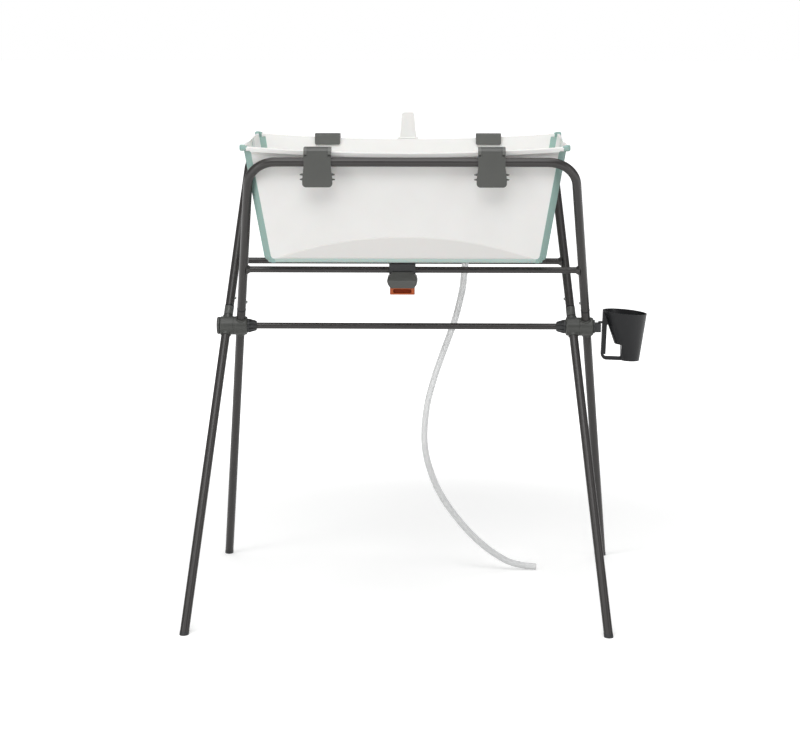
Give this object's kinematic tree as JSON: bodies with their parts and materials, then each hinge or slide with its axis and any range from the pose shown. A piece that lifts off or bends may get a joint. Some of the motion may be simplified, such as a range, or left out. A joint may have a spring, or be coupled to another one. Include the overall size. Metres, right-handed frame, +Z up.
{
  "type": "folding baby bath with stand",
  "caption": "Rectangular folding baby bath with soft seams, clipped to the top bars of a crossed-leg tube stand, with a drain hose and a hooked rinse cup.",
  "frame": {"origin": "centre of the bounding box on the ground, measured without the drain hose", "axes": "+Z up, +X along the bath to the side with the cup, +Y to the rear, where the closing strap is; the front faces -Y"},
  "size_m": [0.9858, 0.6948, 1.0474],
  "materials": {
    "stand_tube": "satin powder coat",
    "pin_steel": "plain",
    "hub_plastic": "fine texture",
    "dark_plastic": "fine texture",
    "button_orange": "semi gloss",
    "seam_rubber": "smooth soft",
    "hose_clear": "clear flexible",
    "bath_white": "satin"
  },
  "bodies": {
    "crossing": {"spreader": "stand_tube", "hub_cones": "dark_plastic", "hub_axles": "hub_plastic", "cup_holder": "dark_plastic"},
    "front_frame": {"upper_frame_front": "stand_tube", "lower_bar_front": "stand_tube", "lower_legs_front": "stand_tube", "hub_collars_front": "hub_plastic", "foot_caps_front": "dark_plastic"},
    "rear_frame": {"upper_frame_rear": "stand_tube", "lower_bar_rear": "stand_tube", "lower_legs_rear": "stand_tube", "hub_collars_rear": "hub_plastic", "foot_caps_rear": "dark_plastic"},
    "lock": {"lock_housing": "hub_plastic", "lock_saddle": "dark_plastic", "lock_arm": "hub_plastic"},
    "release_button": {"release_button": "button_orange"},
    "front_wall": {"wall_front": "bath_white", "seams_front": "seam_rubber", "clip_bases_front": "hub_plastic", "clip_pins_front": "pin_steel"},
    "front_bottom": {"bottom_front": "bath_white", "bottom_crease_front": "seam_rubber"},
    "front_left_end": {"end_front_left": "bath_white", "end_crease_front_left": "seam_rubber"},
    "front_left_gusset": {"gusset_front_left": "seam_rubber"},
    "front_left_clip": {"clip_flap_front_left": "hub_plastic"},
    "front_left_button": {"snap_button_front_left": "pin_steel"},
    "front_right_end": {"end_front_right": "bath_white", "end_crease_front_right": "seam_rubber"},
    "front_right_gusset": {"gusset_front_right": "seam_rubber"},
    "front_right_clip": {"clip_flap_front_right": "hub_plastic"},
    "front_right_button": {"snap_button_front_right": "pin_steel"},
    "rear_wall": {"wall_rear": "bath_white", "seams_rear": "seam_rubber", "clip_bases_rear": "hub_plastic", "clip_pins_rear": "pin_steel", "strap_pin": "pin_steel"},
    "rear_bottom": {"bottom_rear": "bath_white", "bottom_crease_rear": "seam_rubber", "drain_ring": "bath_white", "drain_spout": "hose_clear"},
    "rear_left_end": {"end_rear_left": "bath_white", "end_crease_rear_left": "seam_rubber"},
    "rear_left_gusset": {"gusset_rear_left": "seam_rubber"},
    "rear_left_clip": {"clip_flap_rear_left": "hub_plastic"},
    "rear_left_button": {"snap_button_rear_left": "pin_steel"},
    "rear_right_end": {"end_rear_right": "bath_white", "end_crease_rear_right": "seam_rubber"},
    "rear_right_gusset": {"gusset_rear_right": "seam_rubber"},
    "rear_right_clip": {"clip_flap_rear_right": "hub_plastic"},
    "rear_right_button": {"snap_button_rear_right": "pin_steel"},
    "drain_plug": {"drain_plug": "seam_rubber"},
    "drain_hose": {"drain_hose": "hose_clear"},
    "closing_strap": {"closing_strap": "bath_white"},
    "rinse_cup": {"rinse_cup": "dark_plastic"}
  },
  "joints": [
    {"name": "stand_fold", "type": "hinge", "parent": "crossing", "child": "front_frame", "pos_m": [-0.028, 0, 0.597], "axis": [-1, 0, 0], "range_deg": [0, 17.7]},
    {"name": "rear_frame_fold", "type": "hinge", "parent": "crossing", "child": "rear_frame", "pos_m": [-0.028, 0, 0.597], "axis": [1, 0, 0], "range_deg": [0, 17.7]},
    {"name": "lock_turn", "type": "hinge", "parent": "front_frame", "child": "lock", "pos_m": [-0.028, -0.07488, 0.73], "axis": [1, 0, 0], "range_deg": [0, 17.7]},
    {"name": "release_press", "type": "slide", "parent": "lock", "child": "release_button", "axis": [0, 0, 1], "range_m": [0, 0.004], "stiffness_N_per_m": 500, "springref_m": -0.003},
    {"name": "front_wall_turn", "type": "hinge", "parent": "front_frame", "child": "front_wall", "pos_m": [-0.028, -0.21, 0.97], "axis": [1, 0, 0], "range_deg": [0, 10.71]},
    {"name": "front_bottom_rise", "type": "hinge", "parent": "front_wall", "child": "front_bottom", "pos_m": [-0.028, -0.15, 0.756], "axis": [1, 0, 0], "range_deg": [0, 76.24], "deforming": ["bottom_crease_front", "seams_front"]},
    {"name": "front_left_end_fold", "type": "hinge", "parent": "front_wall", "child": "front_left_end", "pos_m": [-0.321, -0.15, 0.756], "axis": [0.157, 0.1852, -0.9701], "range_deg": [0, 70.69], "deforming": ["end_crease_front_left"]},
    {"name": "front_left_gusset_fold", "type": "hinge", "parent": "front_bottom", "child": "front_left_gusset", "pos_m": [-0.321, -0.15, 0.756], "axis": [-0.689, -0.7248, 0], "range_deg": [0, 150.73], "deforming": ["gusset_front_left"]},
    {"name": "front_left_clip_open", "type": "hinge", "parent": "front_wall", "child": "front_left_clip", "pos_m": [-0.207, -0.213, 0.991], "axis": [-1, 0, 0], "range_deg": [0, 100]},
    {"name": "front_right_end_fold", "type": "hinge", "parent": "front_wall", "child": "front_right_end", "pos_m": [0.265, -0.15, 0.756], "axis": [0.157, -0.1852, 0.9701], "range_deg": [0, 70.69], "deforming": ["end_crease_front_right"]},
    {"name": "front_right_gusset_fold", "type": "hinge", "parent": "front_bottom", "child": "front_right_gusset", "pos_m": [0.265, -0.15, 0.756], "axis": [-0.689, 0.7248, 0], "range_deg": [0, 150.73], "deforming": ["gusset_front_right"]},
    {"name": "front_right_clip_open", "type": "hinge", "parent": "front_wall", "child": "front_right_clip", "pos_m": [0.151, -0.213, 0.991], "axis": [-1, 0, 0], "range_deg": [0, 100]},
    {"name": "rear_wall_turn", "type": "hinge", "parent": "rear_frame", "child": "rear_wall", "pos_m": [-0.028, 0.21, 0.97], "axis": [-1, 0, 0], "range_deg": [0, 10.71]},
    {"name": "rear_bottom_rise", "type": "hinge", "parent": "rear_wall", "child": "rear_bottom", "pos_m": [-0.028, 0.15, 0.756], "axis": [-1, 0, 0], "range_deg": [0, 76.24], "deforming": ["bottom_crease_rear", "seams_rear"]},
    {"name": "rear_left_end_fold", "type": "hinge", "parent": "rear_wall", "child": "rear_left_end", "pos_m": [-0.321, 0.15, 0.756], "axis": [-0.157, 0.1852, 0.9701], "range_deg": [0, 70.69], "deforming": ["end_crease_rear_left"]},
    {"name": "rear_left_gusset_fold", "type": "hinge", "parent": "rear_bottom", "child": "rear_left_gusset", "pos_m": [-0.321, 0.15, 0.756], "axis": [0.689, -0.7248, 0], "range_deg": [0, 150.73], "deforming": ["gusset_rear_left"]},
    {"name": "rear_left_clip_open", "type": "hinge", "parent": "rear_wall", "child": "rear_left_clip", "pos_m": [-0.207, 0.213, 0.991], "axis": [1, 0, 0], "range_deg": [0, 100]},
    {"name": "rear_right_end_fold", "type": "hinge", "parent": "rear_wall", "child": "rear_right_end", "pos_m": [0.265, 0.15, 0.756], "axis": [-0.157, -0.1852, -0.9701], "range_deg": [0, 70.69], "deforming": ["end_crease_rear_right"]},
    {"name": "rear_right_gusset_fold", "type": "hinge", "parent": "rear_bottom", "child": "rear_right_gusset", "pos_m": [0.265, 0.15, 0.756], "axis": [0.689, 0.7248, 0], "range_deg": [0, 150.73], "deforming": ["gusset_rear_right"]},
    {"name": "rear_right_clip_open", "type": "hinge", "parent": "rear_wall", "child": "rear_right_clip", "pos_m": [0.151, 0.213, 0.991], "axis": [1, 0, 0], "range_deg": [0, 100]},
    {"name": "drain_plug_pull", "type": "slide", "parent": "rear_bottom", "child": "drain_plug", "axis": [0, 0, 1], "range_m": [0, 0.02]},
    {"name": "hose_hang", "type": "hinge", "parent": "rear_bottom", "child": "drain_hose", "pos_m": [0.1, 0.044, 0.7388], "axis": [1, 0, 0], "range_deg": [0, 69.25], "deforming": ["drain_hose"]},
    {"name": "strap_swing", "type": "hinge", "parent": "rear_wall", "child": "closing_strap", "pos_m": [-0.028, 0.19676, 0.9904], "axis": [1, 0, 0], "range_deg": [-90, 90]},
    {"name": "cup_lift", "type": "slide", "parent": "crossing", "child": "rinse_cup", "axis": [0, 0, 1], "range_m": [0, 0.12]},
    {"name": "front_left_button_press", "type": "slide", "parent": "front_frame", "child": "front_left_button", "axis": [-0.9956, -0.0461, 0.0818], "range_m": [0, 0.003], "stiffness_N_per_m": 400, "springref_m": -0.002},
    {"name": "front_right_button_press", "type": "slide", "parent": "front_frame", "child": "front_right_button", "axis": [0.9956, -0.0461, 0.0818], "range_m": [0, 0.003], "stiffness_N_per_m": 400, "springref_m": -0.002},
    {"name": "rear_left_button_press", "type": "slide", "parent": "rear_frame", "child": "rear_left_button", "axis": [-0.9956, 0.0461, 0.0818], "range_m": [0, 0.003], "stiffness_N_per_m": 400, "springref_m": -0.002},
    {"name": "rear_right_button_press", "type": "slide", "parent": "rear_frame", "child": "rear_right_button", "axis": [0.9956, 0.0461, 0.0818], "range_m": [0, 0.003], "stiffness_N_per_m": 400, "springref_m": -0.002}
  ],
  "couplings": [
    {"joint": "rear_frame_fold", "follows": "stand_fold", "ratio": 1},
    {"joint": "lock_turn", "follows": "stand_fold", "ratio": 1},
    {"joint": "front_wall_turn", "follows": "stand_fold", "ratio": 0.60475},
    {"joint": "front_bottom_rise", "follows": "stand_fold", "ratio": 4.3072},
    {"joint": "front_left_end_fold", "follows": "stand_fold", "ratio": 3.9936},
    {"joint": "front_left_gusset_fold", "follows": "stand_fold", "ratio": 8.5157},
    {"joint": "front_right_end_fold", "follows": "stand_fold", "ratio": 3.9936},
    {"joint": "front_right_gusset_fold", "follows": "stand_fold", "ratio": 8.5157},
    {"joint": "rear_wall_turn", "follows": "stand_fold", "ratio": 0.60475},
    {"joint": "rear_bottom_rise", "follows": "stand_fold", "ratio": 4.3072},
    {"joint": "rear_left_end_fold", "follows": "stand_fold", "ratio": 3.9936},
    {"joint": "rear_left_gusset_fold", "follows": "stand_fold", "ratio": 8.5157},
    {"joint": "rear_right_end_fold", "follows": "stand_fold", "ratio": 3.9936},
    {"joint": "rear_right_gusset_fold", "follows": "stand_fold", "ratio": 8.5157},
    {"joint": "hose_hang", "follows": "stand_fold", "ratio": 3.9119}
  ]
}
